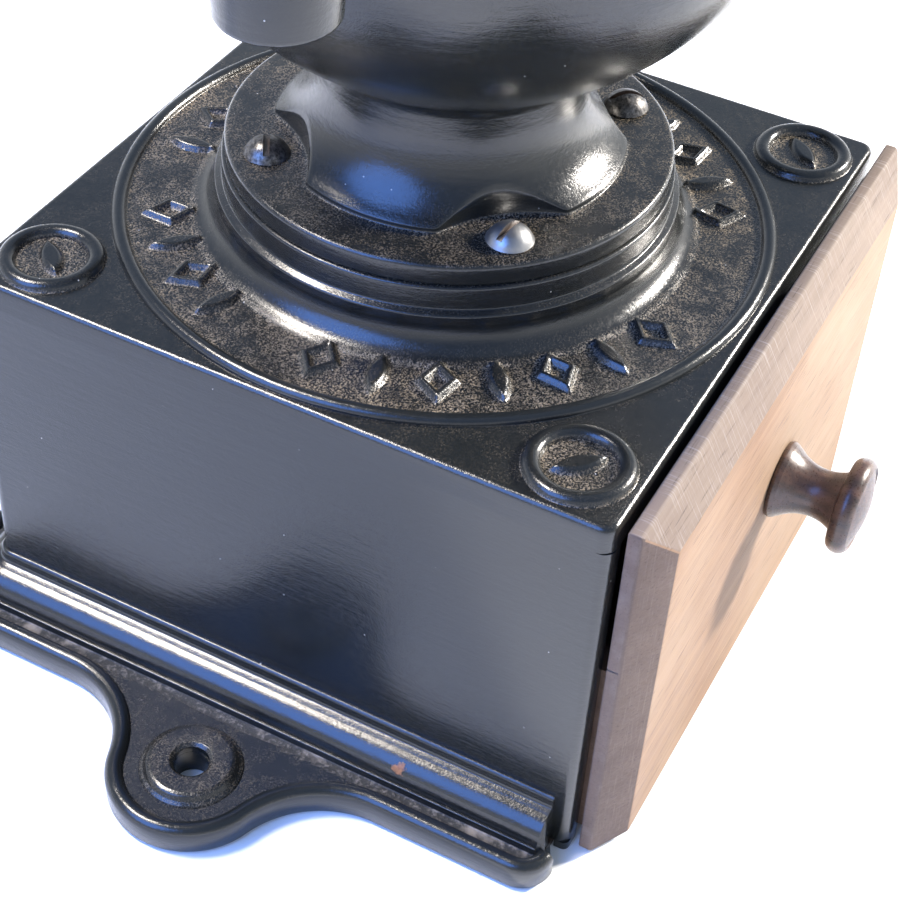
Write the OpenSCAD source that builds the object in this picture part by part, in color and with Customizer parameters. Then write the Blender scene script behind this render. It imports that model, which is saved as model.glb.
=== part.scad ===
// Hand crank coffee mill: square cast-iron box with a drawer, ball hopper and top crank.
// Origin: on the ground, on the grinding axis. +Z up, the drawer opens towards -Y. Millimetres.

/* [Box casting] */
// Width and depth of the square box
box_w = 140; // [136:1:146]
// Height of the box top above the ground
box_h = 92; // [90:1:98]
// Thickness of the cast side walls
wall = 5; // [4:0.5:6]
// Thickness of the cast top plate
plate_t = 6; // [5:0.5:7]
// Radius of the box's upright corners
corner_r = 3; // [2.5:0.5:5]
// Rounding of the top plate's edge
edge_r = 1.5; // [0.5:0.25:2]

/* [Base moulding] */
// How far the base stands out from the walls
base_reach = 14; // [13:0.5:15]
// Height of the base flange
base_t = 6; // [5:0.5:6.5]
// Radius of the rounded kerb that follows the base outline
kerb_r = 1.9; // [1.5:0.1:2]
// Radius of the two screw ears
ear_r = 17.8; // [15:0.1:20]
// Distance of an ear hole from the box centre
ear_hole_x = 93.5; // [92:0.5:95]
// Radius of the concave blends beside an ear
ear_blend_r = 22; // [18:1:26]
// Radius of the screw hole in each ear
ear_hole_r = 3.7; // [3:0.1:4.5]

/* [Top plate relief] */
// Crest radius of the raised ring on the plate
ring_r = 66.9; // [66:0.1:67.5]
// Distance of a corner roundel from each centre line
roundel_xy = 57.4; // [57:0.1:58]
// Mean radius of the frieze between ring and collar
frieze_r = 56.4; // [56:0.2:57]
// Height of the cast relief above the plate
relief_h = 1.1; // [0.8:0.1:1.4]

/* [Hopper] */
// Outer radius of the ball hopper
ball_r = 65.5; // [64:0.5:67]
// Height of the ball's centre above the ground
ball_z = 193; // [192:0.5:196]
// Thickness of the cast bowl
bowl_t = 4.5; // [4:0.25:5]
// Thickness of the pressed dome
dome_t = 2.5; // [2:0.25:3]
// Radius of the neck between foot and bowl
neck_r = 26.7; // [26:0.1:28]
// Radius of the foot flange
flange_r = 45.2; // [44.5:0.1:46]
// Distance of the four flange screws from the axis
flange_screw_r = 37.7; // [37.4:0.1:38.2]

/* [Grinding works] */
// Radius of the drive shaft
shaft_r = 5; // [4.5:0.25:5]
// Radial clearance of the running fits
run_gap = 0.05; // [0.02:0.01:0.08]
// Outer radius of the burr ring
burr_r = 32; // [31.5:0.1:32]
// Height of the burr ring
burr_h = 22; // [20:0.5:22]

/* [Crank] */
// Distance of the handle spindle from the axis
crank_reach = 101; // [98:1:104]
// Bend radius of the arm around the ball's centre
crank_bend = 84; // [83:0.5:85]
// Direction in which the crank points at rest, in degrees
crank_angle = -168; // [-180:1:180]
// Height of the wooden handle
handle_h = 44; // [38:1:52]

/* [Drawer] */
// Width of the drawer's front board
front_w = 140; // [136:0.5:141]
// Thickness of the front board
front_t = 7.5; // [7:0.5:9]
// Gap between the casting and the closed front board
front_gap = 1.8; // [1:0.1:2.5]
// How far the board sits to the right of the centre line
front_shift = 1.5; // [0:0.1:2]
// Height of the drawer's thin sides
side_h = 48; // [40:1:49]
// Place of the knob to the right of the centre line
knob_x = 5; // [0:0.5:6]

/* [Hidden] */
$fn = 96;

half = box_w / 2;
inner = half - wall;
plate_under = box_h - plate_t;
base_half = half + base_reach;
ear_y = 5;

collar_top = box_h + 14;
boss_under = box_h - 14;
flange_top = collar_top + 4.5;
burr_z = collar_top - burr_h;
rim_z = ball_z - 6.5;
rim_r = ball_r + 3.9;

foot_r = 35.5;
foot_z = flange_top + 1.2;
cove_z = 127;
cove_r = 17.7;
scallop_r = 29.5;
scallop_at = 59.6;
neck_blend = 5;
throat_r = 20;

crown_r = 20;
crown_z = ball_z + sqrt(ball_r * ball_r - crown_r * crown_r);
door_in = ball_r + 0.5;
door_out = door_in + 1.8;
door_low = 5;
door_half = 36;
hatch_half = 29;
door_hub_z = ball_z + sqrt(door_in * door_in - crown_r * crown_r);
collar_neck_r = 11;

bridge_z = 176;
lower_z = boss_under - 8;
cup_z = 66;
cup_h = 3;
screw_r = 4;

cone_z = 83;
cone_h = 21;
hub_z = 264;
hub_top = 281;
arm_w = 11;
arm_t = 7;
arm_low = 12;
arm_flare = 14;
boss_r = 9.5;
pin_r = 3.5;
boss_z = ball_z + crank_bend * sin(arm_low) - arm_flare * (1 - sin(arm_low)) + 0.5;
handle_z = boss_z + 7.5;

sheet_t = 2;
rebate_half = half + 6;
drawer_half = inner - 1;
drawer_z = sheet_t + 0.3;
board_t = 6;
front_y = -half - front_gap;
drawer_back_y = 58;
bevel_w = 8.5;
bevel_d = 4.7;
knob_z = 48.5;

iron = "#1d2024";
iron_dark = "#16181b";
steel = "#8b8d90";
brass = "#b0904e";
walnut = "#8a6248";
knob_wood = "#3c2a24";

// Points on an arc from angle a to angle b
function arc(cx, cy, r, a, b, n = 12) =
    [for (i = [0:n]) [cx + r * cos(a + (b - a) * i / n), cy + r * sin(a + (b - a) * i / n)]];

// Flat rounded rectangle centred on the origin
module rounded_plan(w, d, r) {
    square([w - 2 * r, d], center = true);
    square([w, d - 2 * r], center = true);
    for (x = [-1, 1], y = [-1, 1])
        translate([x * (w / 2 - r), y * (d / 2 - r)]) circle(r);
}

// The child profile (x outward, y up) swept along a straight side that ends at y = 0
module along_side(x, length) {
    translate([x, 0, 0]) rotate([90, 0, 0]) linear_extrude(length) children();
}

// ---------- Body casting ----------

// Upright box with rounded corners and a rounded top edge
module box_solid() {
    low = box_h - edge_r;
    linear_extrude(low) rounded_plan(box_w, box_w, corner_r);
    linear_extrude(box_h) rounded_plan(box_w - 2 * edge_r, box_w - 2 * edge_r, corner_r - edge_r);
    for (a = [0:90:270]) rotate(a) {
        translate([0, half - corner_r, 0]) along_side(half - edge_r, box_w - 2 * corner_r)
            translate([0, low]) intersection() {
                circle(edge_r);
                square(edge_r);
            }
        translate([half - corner_r, half - corner_r, 0]) rotate_extrude(angle = 90)
            translate([corner_r - edge_r, low]) intersection() {
                circle(edge_r);
                square(edge_r);
            }
    }
}

// Outward profile of the base moulding: ledge, ovolo, groove, fillet and valley
module moulding_profile() {
    polygon(concat(
        [[-1, 0.5], [8.4, 0.5], [8.4, base_t], [8.1, 7.5], [7.5, 7.5], [7.2, 7.1]],
        arc(1.6, 7.2, 5.4, 8, 78),
        [[1.3, 13.1], [1, 13.6], [1, 15.4], [0.6, 16], [-1, 16]]
    ));
}

// The concave blends cut this far past tangency, so that the outlines cross cleanly
blend_cross = 0.06;
// Distance along the wall from an ear's centre line to the start of its concave blend
blend_dx = base_half + ear_blend_r - ear_hole_x;
blend_dy = sqrt(pow(ear_r + ear_blend_r, 2) - pow(blend_dx, 2));
base_corner_r = corner_r + base_reach;
front_round = 7;

// Plan of one ear, inset from its outline
module ear_plan(inset) {
    translate([ear_hole_x, ear_y]) circle(ear_r - inset);
    difference() {
        polygon([
            [half, ear_y - blend_dy], [base_half + ear_blend_r, ear_y - blend_dy],
            [ear_hole_x, ear_y], [base_half + ear_blend_r, ear_y + blend_dy], [half, ear_y + blend_dy]
        ]);
        for (s = [-1, 1])
            translate([base_half + ear_blend_r, ear_y + s * blend_dy])
                circle(ear_blend_r + inset + blend_cross);
    }
}

// Plan of the base, inset from its outline on all sides but the front, with ears on both sides
module base_plan(inset) {
    front_x = base_half - front_round;
    back_x = half - corner_r;
    translate([-front_x, -half]) square([2 * front_x, box_w]);
    translate([inset - base_half, front_round - half])
        square([2 * (base_half - inset), half - front_round + back_x]);
    translate([-back_x, 0]) square([2 * back_x, base_half - inset]);
    for (s = [-1, 1]) {
        translate([s * front_x, front_round - half]) circle(front_round - inset);
        translate([s * back_x, back_x]) circle(base_corner_r - inset);
    }
    ear_plan(inset);
    mirror([1, 0]) ear_plan(inset);
}

// Rounded kerb along the outline, as thin steps of a half circle
module kerb() {
    steps = 5;
    low = base_t - 0.55;
    for (i = [0:steps - 1]) {
        // Half width of this step, to a hundredth so that straight and round edges meet exactly
        w = round(100 * kerb_r * cos(90 * i / steps)) / 100;
        linear_extrude(low + kerb_r * sin(90 * (i + 0.5) / steps)) difference() {
            base_plan(kerb_r - w);
            base_plan(kerb_r + w);
        }
    }
}

// Raised boss around an ear's screw hole
module ear_boss() {
    translate([ear_hole_x, ear_y, 0]) rotate_extrude()
        polygon([[0, 1], [10.5, 1], [10.5, base_t], [9.6, base_t + 0.6], [9, base_t + 1.6],
                 [8.2, base_t + 2], [0, base_t + 2]]);
}

module base_solid() {
    linear_extrude(base_t) base_plan(kerb_r);
    kerb();
    for (s = [0, 1]) mirror([s, 0, 0]) {
        ear_boss();
        translate([0, half - corner_r, 0]) along_side(half, box_w - corner_r) moulding_profile();
        translate([half - corner_r, half - corner_r, 0]) rotate_extrude(angle = 90)
            translate([corner_r, 0]) moulding_profile();
    }
    rotate(90) translate([0, half - corner_r, 0])
        along_side(half, box_w - 2 * corner_r) moulding_profile();
}

// Raised ring with a sunk middle and a leaf across it
module roundel() {
    rotate_extrude()
        polygon([[7, -1], [10.6, -1], [10.6, 0.2], [9.6, 0.7], [8.8, 1.5], [7.4, 1.5], [7, 1]]);
    rotate(-45) leaf(10, 4.2);
}

// Pointed oval standing up from the plate
module leaf(length, width) {
    r = (length * length / 4 + width * width / 4) / width;
    translate([0, 0, -1]) linear_extrude(1 + relief_h) intersection() {
        translate([0, r - width / 2]) circle(r);
        translate([0, width / 2 - r]) circle(r);
    }
}

// Open diamond standing up from the plate
module lozenge(length, width, line) {
    translate([0, 0, -1]) linear_extrude(1 + relief_h) difference() {
        diamond(length, width);
        diamond(length - 2.6 * line, width - 1.7 * line);
    }
}

// Flat diamond of a given length and width
module diamond(length, width) {
    polygon([[length / 2, 0], [0, width / 2], [-length / 2, 0], [0, -width / 2]]);
}

// Lozenges and leaves in turn, from angle a to angle b around the plate
module frieze(a, b, count) {
    for (i = [0:count - 1])
        rotate(a + (b - a) * i / (count - 1)) translate([frieze_r, 0, box_h])
            if (i % 2 == 0) lozenge(11.6, 8.4, 1.7);
            else leaf(11.2, 3.6);
}

// Collar profile: cove foot, step, upright band up to the joint with the hopper
module collar_profile() {
    polygon(concat(
        [[30, box_h - 2], [51.6, box_h - 2], [51.6, box_h + 0.4]],
        arc(53.2, box_h + 6.4, 6.1, 255, 188, 8),
        [[47.2, box_h + 6.4], [47.2, box_h + 8.4], [46.8, box_h + 8.8]],
        [[45.9, box_h + 8.8], [45.9, collar_top], [30, collar_top]]
    ));
}

module body_casting() color(iron) {
    difference() {
        union() {
            difference() {
                box_solid();
                translate([-inner, -box_w, -1]) cube([2 * inner, box_w + inner, plate_under + 1]);
            }
            translate([0, 0, boss_under]) cylinder(r = 38, h = plate_t + 9);
            rotate_extrude() collar_profile();
            rotate_extrude() translate([ring_r, box_h - 0.4]) intersection() {
                circle(1.6);
                translate([-3, 0]) square([6, 3]);
            }
            for (x = [-1, 1], y = [-1, 1])
                translate([x * roundel_xy, y * roundel_xy, box_h]) rotate(x * y > 0 ? 0 : 90) roundel();
            frieze(-177, -107, 7);
            frieze(-62, -6, 6);
            frieze(16, 100, 8);
            frieze(125, 157, 4);
        }
        translate([0, 0, burr_z]) cylinder(r = burr_r + run_gap, h = 60);
        translate([0, 0, boss_under - 1]) cylinder(r = 28, h = 60);
        for (a = [45:90:315])
            rotate(a) translate([flange_screw_r, 0, collar_top - 11]) cylinder(r = 2.5, h = 12);
        for (s = [-1, 1]) {
            translate([s * 33, 0, boss_under - 1]) cylinder(r = 2, h = 6);
            translate([0, s * (burr_r - 2), burr_z - 3]) cylinder(r = 1.5, h = 4);
        }
        bottom_rebate();
    }
}

// The base moulding with its ears, around the two sides and the back of the box
module base_moulding() color(iron) difference() {
    base_solid();
    translate([0, 0, -1]) linear_extrude(box_h) rounded_plan(box_w, box_w, corner_r);
    for (s = [-1, 1])
        translate([s * ear_hole_x, ear_y, -1]) cylinder(r = ear_hole_r, h = 20);
    bottom_rebate();
    bottom_screw_places() cylinder(r = 1.25, h = 5.4);
}

// Room for the bottom plate
module bottom_rebate() {
    translate([-rebate_half, -half + 3, -1]) cube([2 * rebate_half, box_w + 3, sheet_t + 1]);
}

// Places of the six screws of the bottom plate, at the plate's underside
module bottom_screw_places() {
    for (s = [-1, 1], y = [-52, 4, 60])
        translate([s * (half + 3), y, 0]) children();
}

module bottom_plate() color(steel) difference() {
    translate([0.4 - rebate_half, 3.4 - half, 0]) cube([2 * rebate_half - 0.8, box_w + 2.2, sheet_t]);
    bottom_screw_places() {
        translate([0, 0, -1]) cylinder(r = 1.3, h = 6);
        cylinder(r1 = 2.6, r2 = 1.3, h = 1.3);
    }
}

module bottom_plate_screws() color(steel) bottom_screw_places() difference() {
    union() {
        cylinder(r1 = 2.5, r2 = 1.2, h = 1.3);
        cylinder(r = 1.2, h = 5);
    }
    translate([0, 0, 0.2]) cube([6, 0.6, 1], center = true);
}

// ---------- Hopper ----------

// Section of the hopper's foot: flange, and trumpet up to the neck
module foot_profile() {
    foot_a = 180 + asin((cove_z - foot_z) / cove_r);
    polygon(concat(
        [[26, collar_top], [flange_r, collar_top], [flange_r, flange_top - 1.2]],
        arc(flange_r - 1.2, flange_top - 1.2, 1.2, 0, 90, 6),
        [[foot_r + 0.3, flange_top], [foot_r + 0.3, foot_z - 0.3]],
        arc(neck_r + cove_r, cove_z, cove_r, foot_a, 180, 16),
        [[throat_r, cove_z], [throat_r, flange_top]]
    ));
}

module hopper_foot() color(iron) difference() {
    rotate_extrude() foot_profile();
    for (a = [45:90:315]) rotate(a) {
        translate([scallop_at, 0, flange_top]) cylinder(r = scallop_r, h = 9);
        translate([flange_screw_r, 0, collar_top - 1]) cylinder(r = 2.7, h = 9);
    }
}

// Section of the bowl from the neck to the rim
module bowl_profile() {
    blend_x = neck_r + neck_blend;
    blend_z = ball_z - sqrt(pow(ball_r + neck_blend, 2) - pow(blend_x, 2));
    bowl_in = ball_r - bowl_t;
    start = atan2(blend_z - ball_z, blend_x);
    end = asin((rim_z - ball_z) / ball_r);
    polygon(concat(
        [[throat_r, cove_z], [neck_r, cove_z]],
        arc(blend_x, blend_z, neck_blend, 180, 180 + start, 10),
        arc(0, ball_z, ball_r, start, end, 40),
        [[rim_r - 1, rim_z], [rim_r, rim_z + 1], [rim_r, ball_z - 0.05], [bowl_in, ball_z - 0.05]],
        arc(0, ball_z, bowl_in, 0, -acos(throat_r / bowl_in), 40)
    ));
}

module hopper_bowl() color(iron) difference() {
    union() {
        rotate_extrude() bowl_profile();
        intersection() {
            for (s = [-1, 1])
                translate([s * 54 - 8, -9, bridge_z - 12]) cube([16, 18, 12]);
            translate([0, 0, ball_z]) sphere(ball_r - 1.5);
        }
    }
    for (s = [-1, 1])
        translate([s * 52, 0, bridge_z - 10]) cylinder(r = 1.6, h = 11);
    dome_screw_places() translate([0, 0, -12]) cylinder(r = 1.6, h = 20);
}

// Places of the three rim screws, with +Z pointing outwards from the rim face
module dome_screw_places() {
    for (a = [30:120:270])
        rotate(a) translate([rim_r, 0, rim_z + 3.4]) rotate([0, 90, 0]) children();
}

// Slotted round-head screw with its head above the origin
module round_head_screw(head_r, head_h, shank_r, shank_l, slot_w) {
    cap_r = (head_r * head_r + head_h * head_h) / (2 * head_h);
    difference() {
        union() {
            intersection() {
                translate([0, 0, head_h - cap_r]) sphere(cap_r);
                cylinder(r = head_r, h = head_h + 1);
            }
            translate([0, 0, -shank_l]) cylinder(r = shank_r, h = shank_l + 0.5);
        }
        translate([-head_r - 1, -slot_w / 2, head_h * 0.55]) cube([2 * head_r + 2, slot_w, head_h]);
    }
}

module hopper_screws() color(steel)
    for (i = [0:3])
        rotate(45 + 90 * i) translate([flange_screw_r, 0, flange_top])
            rotate(25 + 50 * i) round_head_screw(4.7, 3.4, 2.45, 14, 1.3);

// Section of the pressed dome, with the rail that guides the door's lower edge
module dome_profile() {
    dome_in = ball_r - dome_t;
    inner_top = crown_z - dome_t;
    inner_end = asin((inner_top - ball_z) / dome_in);
    skirt_r = ball_r - bowl_t - 0.5;
    polygon(concat(
        [[skirt_r - 2, rim_z + 0.5], [skirt_r, rim_z + 0.5], [skirt_r, ball_z], [rim_r, ball_z]],
        [[rim_r, ball_z + 5.5], [rim_r - 0.9, ball_z + 5.5], [rim_r - 0.9, ball_z + 2.5]],
        arc(0, ball_z, ball_r, asin(2.5 / ball_r), acos(crown_r / ball_r), 40),
        [[10, crown_z], [10, inner_top]],
        arc(0, ball_z, dome_in, inner_end, 3, 40),
        [[skirt_r - 2, ball_z + 2]]
    ));
}

module hopper_dome() color(iron) difference() {
    rotate_extrude() dome_profile();
    rotate(-90 - hatch_half) rotate_extrude(angle = 2 * hatch_half) polygon(concat(
        arc(0, ball_z, ball_r + 3, 22, 62, 16),
        arc(0, ball_z, ball_r - dome_t - 3, 62, 22, 16)
    ));
    dome_screw_places() translate([0, 0, -14]) cylinder(r = 1.4, h = 14);
}

module dome_screws() color(steel) dome_screw_places()
    rotate(35) round_head_screw(2.9, 1.9, 1.35, 10.5, 0.8);

module dome_collar() color(iron_dark) difference() {
    rotate_extrude()
        polygon([[5.4, crown_z - dome_t], [9.9, crown_z - dome_t], [9.9, crown_z],
                 [collar_neck_r, crown_z], [collar_neck_r, door_hub_z + 2.2],
                 [15, door_hub_z + 2.2], [15, door_hub_z + 3.6], [13, door_hub_z + 5],
                 [5.4, door_hub_z + 5]]);
}

// Curved door that turns about the mill's axis on a ring under the collar
module filler_door() color(iron) {
    rim_a = acos(crown_r / door_in);
    difference() {
        union() {
            rotate(-90 - door_half) rotate_extrude(angle = 2 * door_half) polygon(concat(
                arc(0, ball_z, door_out, door_low, acos(crown_r / door_out), 30),
                [[collar_neck_r + 4, door_hub_z + 1.8], [collar_neck_r + 4, door_hub_z]],
                arc(0, ball_z, door_in, rim_a, door_low, 30)
            ));
            translate([0, 0, door_hub_z]) cylinder(r = 18, h = 1.8);
        }
        translate([0, 0, door_hub_z - 1]) cylinder(r = collar_neck_r + 0.3, h = 4);
        door_knob_place() translate([0, 0, -4]) cylinder(r = 1.5, h = 8);
    }
}

// Place of the door's finger knob, with +Z pointing away from the ball
module door_knob_place() {
    translate([0, 0, ball_z]) rotate([48, 0, 0]) translate([0, 0, door_out]) children();
}

module filler_door_knob() color(brass) door_knob_place() rotate_extrude()
    polygon(concat(
        [[0, -1.6], [1.45, -1.6], [1.45, 0.1], [3.4, 0.1], [3, 1.2], [1.9, 2.4], [1.9, 3.6]],
        arc(0, 6, 3.6, -48, 90, 14)
    ));

// ---------- Bearings and grinding works ----------

module upper_bridge() color(iron_dark) difference() {
    union() {
        translate([-57, -8, bridge_z]) cube([114, 16, 6]);
        translate([0, 0, bridge_z - 2]) cylinder(r = 12, h = 16);
    }
    translate([0, 0, bridge_z - 3]) cylinder(r = 8, h = 20);
    for (s = [-1, 1])
        translate([s * 52, 0, bridge_z - 1]) cylinder(r = 2, h = 8);
    difference() {
        translate([-80, -9, bridge_z - 1]) cube([160, 18, 8]);
        translate([0, 0, ball_z]) sphere(ball_r - bowl_t - 0.6);
    }
}

module upper_bridge_screws() color(steel)
    for (s = [-1, 1])
        translate([s * 52, 0, bridge_z + 6]) rotate(40 * s) round_head_screw(3.4, 2.2, 1.55, 15, 0.9);

module upper_bushing() color(brass) translate([0, 0, bridge_z - 2]) difference() {
    cylinder(r = 8, h = 17);
    translate([0, 0, -1]) cylinder(r = shaft_r + run_gap, h = 20);
}

// Ring that the beans are crushed against, with slanted teeth cut into its funnel
module burr_ring() color(steel) difference() {
    translate([0, 0, burr_z]) cylinder(r = burr_r, h = burr_h);
    rotate_extrude() polygon([[0, burr_z - 1], [21.9, burr_z - 1], [17.5, burr_z + 8],
                              [27, burr_z + burr_h + 1], [0, burr_z + burr_h + 1]]);
    for (i = [0:11])
        rotate(30 * i) translate([21.4, 0, burr_z + 14]) rotate([24, 26, 0])
            cube([4, 2.2, 26], center = true);
    for (s = [-1, 1])
        translate([0, s * (burr_r - 2), burr_z - 1]) cylinder(r = 1.55, h = 4);
}

module burr_ring_pins() color(steel)
    for (s = [-1, 1])
        translate([0, s * (burr_r - 2), burr_z - 3]) cylinder(r = 1.45, h = 5.6);

module lower_bridge() color(iron_dark) difference() {
    union() {
        translate([-37, -7, lower_z]) cube([74, 14, boss_under - lower_z]);
        translate([0, 0, cup_z - 4]) cylinder(r = 11, h = boss_under - cup_z + 4);
    }
    translate([0, 0, cup_z]) cylinder(r = shaft_r + run_gap, h = 20);
    translate([0, 0, cup_z - 5]) cylinder(r = screw_r + run_gap, h = 6);
    for (s = [-1, 1])
        translate([s * 33, 0, lower_z - 1]) cylinder(r = 2.1, h = 12);
}

module lower_bridge_screws() color(steel)
    for (s = [-1, 1])
        translate([s * 33, 0, lower_z]) mirror([0, 0, 1])
            rotate(30 * s) round_head_screw(3.8, 2.4, 1.95, 12.5, 1);

module thrust_cup() color(brass) translate([0, 0, cup_z]) cylinder(r = shaft_r, h = cup_h);

// Screw with a notched thumb wheel that sets how high the cone runs
module adjusting_screw() color(steel) difference() {
    union() {
        translate([0, 0, cup_z - 9]) cylinder(r = screw_r, h = 9);
        translate([0, 0, cup_z - 10]) cylinder(r = 9, h = 4);
    }
    for (a = [0:30:330])
        rotate(a) translate([9.6, 0, cup_z - 11]) cylinder(r = 1.3, h = 6);
}

module drive_shaft() color(steel) {
    translate([0, 0, cup_z + cup_h]) cylinder(r = shaft_r, h = hub_z - cup_z - cup_h);
    translate([0, 0, hub_z]) cylinder(r = screw_r, h = hub_top + 7.5 - hub_z);
}

// Cone with slanted flutes that draw the beans down
module grinding_cone() color(steel) difference() {
    translate([0, 0, cone_z]) cylinder(r1 = 20.6, r2 = 10, h = cone_h);
    translate([0, 0, cone_z - 1]) cylinder(r = shaft_r, h = cone_h + 2);
    for (i = [0:9])
        rotate(36 * i) translate([15, 0, cone_z + 12]) rotate([-17, -27, 0])
            cube([4, 3, 34], center = true);
    translate([0, 0, cone_z + 17]) rotate([90, 0, 0]) cylinder(r = 1.5, h = 40, center = true);
}

module cone_pin() color(steel) translate([0, 0, cone_z + 17]) rotate([90, 0, 0]) difference() {
    cylinder(r = 1.45, h = 22, center = true);
    cylinder(r = 1.6, h = 2 * shaft_r + 0.1, center = true);
}

// ---------- Crank ----------

// Everything on the crank, turned to its rest direction
module at_rest_angle() {
    rotate(crank_angle) children();
}

// Side view of the arm: a bend around the ball, then a flare out to the end boss
module arm_side() {
    flare_x = (crank_bend + arm_flare) * cos(arm_low);
    flare_z = ball_z + (crank_bend + arm_flare) * sin(arm_low);
    t = arm_t / 2;
    polygon(concat(
        arc(0, ball_z, crank_bend + t, 90, arm_low, 26),
        arc(flare_x, flare_z, arm_flare - t, 180 + arm_low, 270, 10),
        arc(flare_x, flare_z, arm_flare + t, 270, 180 + arm_low, 12),
        arc(0, ball_z, crank_bend - t, arm_low, 90, 26)
    ));
}

module crank_arm() color(iron) at_rest_angle() difference() {
    union() {
        translate([0, 0, hub_z]) cylinder(r = 10.5, h = hub_top - hub_z);
        intersection() {
            rotate([90, 0, 0]) linear_extrude(2 * arm_w, center = true) arm_side();
            translate([0, 0, ball_z]) linear_extrude(box_w)
                polygon([[-1, -6.5], [crank_reach, -4.6], [crank_reach, 4.6], [-1, 6.5]]);
        }
        translate([crank_reach, 0, boss_z - 8]) rotate_extrude()
            polygon([[0, 0], [boss_r - 1, 0], [boss_r, 1], [boss_r, 13], [boss_r - 1, 14], [0, 14]]);
    }
    translate([0, 0, hub_z - 1]) cylinder(r = screw_r, h = 30);
    translate([crank_reach, 0, boss_z - 9]) cylinder(r = pin_r, h = 20);
}

module crank_washer() color(steel) translate([0, 0, hub_top]) difference() {
    cylinder(r = 8, h = 1.2);
    translate([0, 0, -1]) cylinder(r = screw_r, h = 4);
}

module crank_nut() color(steel) translate([0, 0, hub_top + 1.2]) difference() {
    union() {
        intersection() {
            cylinder(r = 7.5, h = 6, $fn = 6);
            translate([0, 0, -6.2]) sphere(13);
        }
        translate([0, 0, 3.4]) sphere(5.6);
    }
    translate([0, 0, -4]) cylinder(r = screw_r, h = 10.3);
    translate([0, 0, -10]) cylinder(r = 12, h = 10);
}

module handle_spindle() color(steel) at_rest_angle() translate([crank_reach, 0, 0]) {
    translate([0, 0, boss_z - 10]) cylinder(r1 = 4.6, r2 = 5.4, h = 2);
    translate([0, 0, boss_z - 8]) cylinder(r = pin_r, h = handle_z + handle_h + 0.6 - boss_z + 8);
    translate([0, 0, handle_z + handle_h + 0.4]) rotate_extrude()
        polygon([[0, 0], [5.2, 0], [5, 1], [3.4, 2], [0, 2.3]]);
}

// Turned wooden grip: narrow above its ferrule, swelling to a round top
module crank_handle() color(knob_wood) at_rest_angle() translate([crank_reach, 0, handle_z])
    rotate_extrude() difference() {
        polygon(concat(
            [[0, 5], [7.2, 5], [8.4, 5.6], [8.8, 7], [8.2, 8.4]],
            arc(18.6, 12, 11, 200, 160, 8),
            arc(1.6, handle_h - 13.5, 12.4, -42, 62, 16),
            [[5.8, handle_h - 0.6], [0, handle_h]]
        ));
        square([pin_r + run_gap, 3 * handle_h], center = true);
        square([pin_r + run_gap, handle_h + 9]);
    }

module handle_ferrule() color(brass) at_rest_angle() translate([crank_reach, 0, handle_z])
    rotate_extrude() polygon([[pin_r + run_gap, 0], [7.4, 0], [8, 0.8], [7.6, 5], [pin_r + run_gap, 5]]);

// ---------- Drawer ----------

// Front board with wide chamfers on its top and both ends
module drawer_front() color(walnut) difference() {
    intersection() {
        translate([front_shift, 0, 0]) linear_extrude(box_h + 5) polygon([
            [-front_w / 2, front_y], [front_w / 2, front_y], [front_w / 2, front_y - front_t + bevel_d],
            [front_w / 2 - bevel_w, front_y - front_t], [bevel_w - front_w / 2, front_y - front_t],
            [-front_w / 2, front_y - front_t + bevel_d]
        ]);
        rotate([90, 0, 90]) translate([0, 0, -box_w]) linear_extrude(2 * box_w) polygon([
            [front_y, 1.2], [front_y, box_h], [front_y - front_t + bevel_d, box_h],
            [front_y - front_t, box_h - bevel_w], [front_y - front_t, 1.2]
        ]);
    }
    translate([knob_x, front_y + 1, knob_z]) rotate([90, 0, 0]) cylinder(r = 4, h = front_t + 2);
}

// One thin side board, s is -1 for the left one and 1 for the right one
module drawer_side(s) {
    low = s > 0 ? drawer_half - board_t : -drawer_half;
    translate([low, front_y, drawer_z]) cube([board_t, drawer_back_y - front_y, side_h]);
}

module drawer_left_side() color(walnut) drawer_side(-1);

module drawer_right_side() color(walnut) drawer_side(1);

module drawer_back() color(walnut)
    translate([board_t - drawer_half, drawer_back_y - board_t, drawer_z])
        cube([2 * (drawer_half - board_t), board_t, side_h]);

module drawer_bottom() color(walnut)
    translate([board_t - drawer_half, front_y, drawer_z])
        cube([2 * (drawer_half - board_t), drawer_back_y - board_t - front_y, 4]);

// Heads of the nails that hold the side boards to the back board
module drawer_nails() color(steel)
    for (s = [-1, 1], z = [10, 24, 38])
        translate([s * drawer_half, drawer_back_y - board_t / 2, drawer_z + z])
            rotate([0, 90 * s, 0]) cylinder(r1 = 1.3, r2 = 1, h = 0.4);

// Turned knob: round foot, hollow neck and mushroom head
module drawer_knob() color(knob_wood)
    translate([knob_x, front_y - front_t, knob_z]) rotate([90, 0, 0]) rotate_extrude()
        polygon(concat(
            [[0, -front_t], [4, -front_t], [4, 0], [8.3, 0], [8.6, 0.9], [8.2, 1.9]],
            arc(15.2, 9, 9.9, 222, 150, 10),
            arc(8, 16.4, 2.6, -62, 62, 8),
            arc(0, -3.7, 23.7, 67, 90, 6)
        ));

body_casting();
base_moulding();
bottom_plate();
bottom_plate_screws();
hopper_foot();
hopper_screws();
hopper_bowl();
hopper_dome();
dome_screws();
dome_collar();
filler_door();
filler_door_knob();
upper_bridge();
upper_bridge_screws();
upper_bushing();
burr_ring();
burr_ring_pins();
lower_bridge();
lower_bridge_screws();
thrust_cup();
adjusting_screw();
drive_shaft();
grinding_cone();
cone_pin();
crank_arm();
crank_washer();
crank_nut();
handle_spindle();
crank_handle();
handle_ferrule();
drawer_front();
drawer_left_side();
drawer_right_side();
drawer_back();
drawer_bottom();
drawer_nails();
drawer_knob();
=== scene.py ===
import math

import bmesh
import bpy
import numpy as np
from mathutils import Matrix, Vector


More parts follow.
